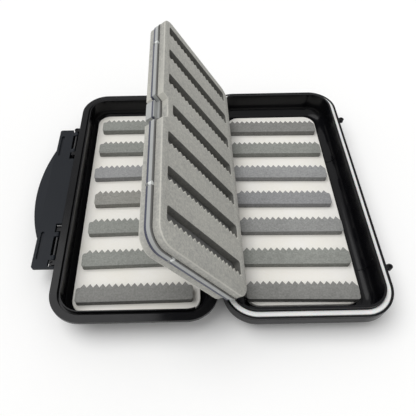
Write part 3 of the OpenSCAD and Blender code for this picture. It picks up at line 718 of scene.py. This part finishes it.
class FLYCASE_OT_leaf_core(bpy.types.Operator):
    """Finish the clear plates and rivets of the swing leaf"""
    bl_idname = "flycase.leaf_core"
    bl_label = "Leaf plates"

    def execute(self, context):
        plastic = context.scene.flycase_plastic
        front = leaf_levels("leaf_pad_front")[1]
        back = leaf_levels("leaf_pad_back")[0]
        skin = mm(plastic.clear_skin)
        # Painted bands: shade with the foam behind on the front face, and shade on the back edge.
        bands = ((leaf_level(front - skin), leaf_level(front + skin),
                  tuple(plastic.shade_and_foam_behind)),
                 (leaf_level(back - mm(plastic.shade_width)), leaf_level(back + FACE_SLACK),
                  tuple(plastic.clear_shade)))
        colour = tuple(plastic.clear_colour)
        for side in ("front", "back"):
            paint_node("leaf_plate_" + side,
                       clear_finish("clear_" + side, colour, leaf_depth(), bands,
                                    haze=0.16, clearness=0.12))
        low, high = leaf_levels("leaf_rivets")
        far_half = (leaf_level((low + high) / 2), leaf_level(high + skin), scaled(colour, 0.5))
        paint_node("leaf_rivets",
                   clear_finish("clear_rivet", scaled(colour, 2.0), leaf_depth(), (far_half,),
                                haze=0.1, clearness=0.1))
        return {"FINISHED"}


# ------------------------------------------------------------------ seal and liners

def sweep_rim(bm, profile, half_x, half_y, steps):
    """Carries a profile of edges, set across the rim's +X side at -half_y, round the rim.

    half_x and half_y lead to the middles of the rim's corners.
    """
    runs = [((half_x, half_y), (0, 2 * half_y, 0)), ((-half_x, half_y), (-2 * half_x, 0, 0)),
            ((-half_x, -half_y), (0, -2 * half_y, 0)), ((half_x, -half_y), (2 * half_x, 0, 0))]
    loop = profile
    for centre, travel in runs:
        drawn = bmesh.ops.extrude_edge_only(bm, edges=loop)
        moved = [item for item in drawn["geom"] if isinstance(item, bmesh.types.BMVert)]
        bmesh.ops.translate(bm, vec=travel, verts=moved)
        loop = [item for item in drawn["geom"] if isinstance(item, bmesh.types.BMEdge)
                and all(v in moved for v in item.verts)]
        turned = bmesh.ops.spin(bm, geom=loop, cent=(*centre, 0), axis=(0, 0, 1),
                                angle=math.pi / 2, steps=steps, use_merge=False)
        loop = [item for item in turned["geom_last"] if isinstance(item, bmesh.types.BMEdge)]
    bmesh.ops.remove_doubles(bm, verts=bm.verts, dist=MERGE)


class FLYCASE_OT_seal(bpy.types.Operator):
    """Make the rubber seal in the base's rim"""
    bl_idname = "flycase.seal"
    bl_label = "Rim seal"

    def execute(self, context):
        seal = context.scene.flycase_seal
        rim_high = box_mm("base_shell")[1]
        low, high = box_mm("base_gasket")
        set_back = rim_high.y - high.y
        half_x, half_y = (half + set_back - mm(seal.rim_corner) for half in (high.x, high.y))
        width = mm(seal.seal_width)
        bm = bmesh.new()
        sheet_of(bm, width, high.z - low.z)
        top = [vert for vert in bm.verts if vert.co.y > 0]
        round_corners(bm, top, mm(seal.seal_crown), seal.crown_steps)
        bmesh.ops.delete(bm, geom=bm.faces[:], context="FACES_ONLY")
        bmesh.ops.rotate(bm, matrix=Matrix.Rotation(math.pi / 2, 3, "X"), verts=bm.verts)
        bmesh.ops.translate(bm, vec=(high.x - width / 2, -half_y, (low.z + high.z) / 2),
                            verts=bm.verts)
        sweep_rim(bm, bm.edges[:], half_x, half_y, seal.seal_steps)
        piece = new_piece(bm, "rim_seal", "base", seal_finish(seal))
        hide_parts("base_gasket")
        return {"FINISHED"}


class FLYCASE_OT_liners(bpy.types.Operator):
    """Make the off-white liner sheets of both trays"""
    bl_idname = "flycase.liners"
    bl_label = "Tray liners"

    def execute(self, context):
        settings = context.scene.flycase_seal
        material = liner_finish(settings)
        for tray in ("base", "lid"):
            low, high = box_mm(tray + "_liner")
            thickness = high.z - low.z
            bm = bmesh.new()
            corners = sheet_of(bm, high.x - low.x, high.y - low.y)
            round_corners(bm, corners, mm(settings.liner_corner), settings.liner_steps)
            raise_faces(bm, thickness)
            soften(bm, edges_at(bm, thickness), mm(settings.liner_edge), segments=3)
            middle = (low + high) / 2
            bmesh.ops.translate(bm, vec=(middle.x, middle.y, low.z), verts=bm.verts)
            piece = new_piece(bm, tray + "_sheet", tray, material)
            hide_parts(tray + "_liner")
        return {"FINISHED"}


# ------------------------------------------------------------------ halves, latch and pins

class FLYCASE_OT_shells(bpy.types.Operator):
    """Finish the two moulded halves"""
    bl_idname = "flycase.shells"
    bl_label = "Case halves"

    def execute(self, context):
        plastic = context.scene.flycase_plastic
        material = moulded_finish("black_shell", tuple(plastic.shell_colour),
                                  plastic.edge_round, gloss=0.16, rough=(0.10, 0.22), wave=0.06)
        for node in ("base_shell", "lid_shell"):
            paint_node(node, material)
        return {"FINISHED"}


class FLYCASE_OT_latch(bpy.types.Operator):
    """Finish the latch and the pins"""
    bl_idname = "flycase.latch"
    bl_label = "Latch and pins"

    def execute(self, context):
        plastic = context.scene.flycase_plastic
        paint_node("latch",
                   moulded_finish("latch_plastic", tuple(plastic.latch_colour),
                                  plastic.edge_round, gloss=0.13, rough=(0.3, 0.42), wave=0.04))
        paint_node("latch_pins",
                   moulded_finish("pin_dark", tuple(plastic.pin_colour),
                                  plastic.edge_round, gloss=0.4, rough=(0.3, 0.45), wave=0.03))
        paint_node("hinge_pins", metal_finish("pin_steel", tuple(plastic.wire_colour)))
        return {"FINISHED"}


# ------------------------------------------------------------------ stage

def add_key(stage):
    """One broad, distant light, so the floor is evenly lit."""
    lamp = bpy.data.lights.new("key", "SUN")
    lamp.energy = stage.key_strength
    lamp.angle = stage.key_width
    held = bpy.data.objects.new("key", lamp)
    held.rotation_euler = Vector(stage.key_aim).to_track_quat("Z", "Y").to_euler()
    bpy.context.scene.collection.objects.link(held)


def add_camera(stage):
    """The photographed view, with its principal point off the image's middle."""
    camera = bpy.data.cameras.new("camera")
    camera.sensor_width = 36.0
    camera.lens = stage.focal_pixels / IMAGE_SIZE * camera.sensor_width
    camera.shift_x = (IMAGE_SIZE / 2 - stage.centre_x) / IMAGE_SIZE
    camera.shift_y = (stage.centre_y - IMAGE_SIZE / 2) / IMAGE_SIZE
    camera.clip_start, camera.clip_end = 0.01, 20.0
    held = bpy.data.objects.new("camera", camera)
    aim = Vector(stage.camera_aim)
    roll = Matrix.Rotation(stage.camera_roll, 3, "Z").to_quaternion()
    turn = aim.to_track_quat("-Z", "Y") @ roll
    held.location = stage.camera_place
    held.rotation_euler = turn.to_euler()
    bpy.context.scene.collection.objects.link(held)
    bpy.context.scene.camera = held


def add_floor(stage):
    """A plain sheet of pale paper just below the case."""
    bm = bmesh.new()
    bmesh.ops.create_grid(bm, x_segments=1, y_segments=1, size=stage.floor_reach)
    bmesh.ops.translate(bm, vec=(0, 0, -stage.floor_gap), verts=bm.verts)
    mesh = bpy.data.meshes.new("floor")
    bm.to_mesh(mesh)
    bm.free()
    floor = bpy.data.objects.new("floor", mesh)
    bpy.context.scene.collection.objects.link(floor)
    paper = Finish("floor_paper").set(Roughness=1.0, Specular_IOR_Level=0.0)
    fibre = paper.noise(0.004, detail=2.0)
    colour = tuple(stage.floor_colour)
    shade = paper.tint(fibre, scaled(colour, 0.995), colour)
    mesh.materials.append(paper.use(Base_Color=shade))


def light_world(stage):
    """White where it is seen, reflected or seen through, and softer as a light."""
    world = bpy.data.worlds.new("studio")
    bpy.context.scene.world = world
    world.use_nodes = True
    nodes, links = world.node_tree.nodes, world.node_tree.links
    nodes.clear()
    output = nodes.new("ShaderNodeOutputWorld")
    mix = nodes.new("ShaderNodeMixShader")
    for socket, strength in ((1, stage.ambient), (2, 1.0)):    # as a light, and as seen
        white = nodes.new("ShaderNodeBackground")
        white.inputs["Strength"].default_value = strength
        white.inputs["Color"].default_value = (1, 1, 1, 1)
        links.new(white.outputs["Background"], mix.inputs[socket])
    path = nodes.new("ShaderNodeLightPath")
    rays = path.outputs["Is Camera Ray"]
    for name in ("Is Glossy Ray", "Is Transmission Ray"):
        either = nodes.new("ShaderNodeMath")
        either.operation = "MAXIMUM"
        links.new(rays, either.inputs[0])
        links.new(path.outputs[name], either.inputs[1])
        rays = either.outputs["Value"]
    links.new(rays, mix.inputs["Fac"])
    links.new(mix.outputs["Shader"], output.inputs["Surface"])


class FLYCASE_OT_stage(bpy.types.Operator):
    """Make the camera, the pale floor and the soft studio light"""
    bl_idname = "flycase.stage"
    bl_label = "Stage"

    def execute(self, context):
        stage = context.scene.flycase_stage
        add_camera(stage)
        add_floor(stage)
        light_world(stage)
        add_key(stage)
        context.scene.view_settings.view_transform = "Standard"
        return {"FINISHED"}


# ------------------------------------------------------------------ add-on

# In the order that they run in.
STEPS = (
    FLYCASE_OT_stage,
    FLYCASE_OT_shells,
    FLYCASE_OT_latch,
    FLYCASE_OT_seal,
    FLYCASE_OT_liners,
    FLYCASE_OT_strips,
    FLYCASE_OT_leaf_core,
    FLYCASE_OT_leaf_pads,
)
# Where the scene holds each group of settings.
SETTINGS = {
    "flycase_foam": FoamSettings,
    "flycase_seal": SealSettings,
    "flycase_plastic": PlasticSettings,
    "flycase_stage": StageSettings,
}


class FLYCASE_PT_panel(bpy.types.Panel):
    """Lists the steps that dress the case"""
    bl_idname = "FLYCASE_PT_panel"
    bl_label = "Pocket case"
    bl_space_type = "VIEW_3D"
    bl_region_type = "UI"
    bl_category = "Pocket case"

    def draw(self, context):
        for step in STEPS:
            self.layout.operator(step.bl_idname)
        for name, group in SETTINGS.items():
            held = self.layout.box()
            held.label(text=group.__doc__)
            for key in group.__annotations__:
                held.prop(getattr(context.scene, name), key)


CLASSES = (*SETTINGS.values(), *STEPS, FLYCASE_PT_panel)


def register():
    """Adds the settings, the steps and the panel."""
    for held in CLASSES:
        bpy.utils.register_class(held)
    for name, group in SETTINGS.items():
        setattr(bpy.types.Scene, name, PointerProperty(type=group))


def unregister():
    """Takes them away again."""
    for name in SETTINGS:
        delattr(bpy.types.Scene, name)
    for held in reversed(CLASSES):
        bpy.utils.unregister_class(held)


def main():
    """Runs every step."""
    register()
    for step in STEPS:
        family, action = step.bl_idname.split(".")
        getattr(getattr(bpy.ops, family), action)()


if __name__ == "__main__":
    main()
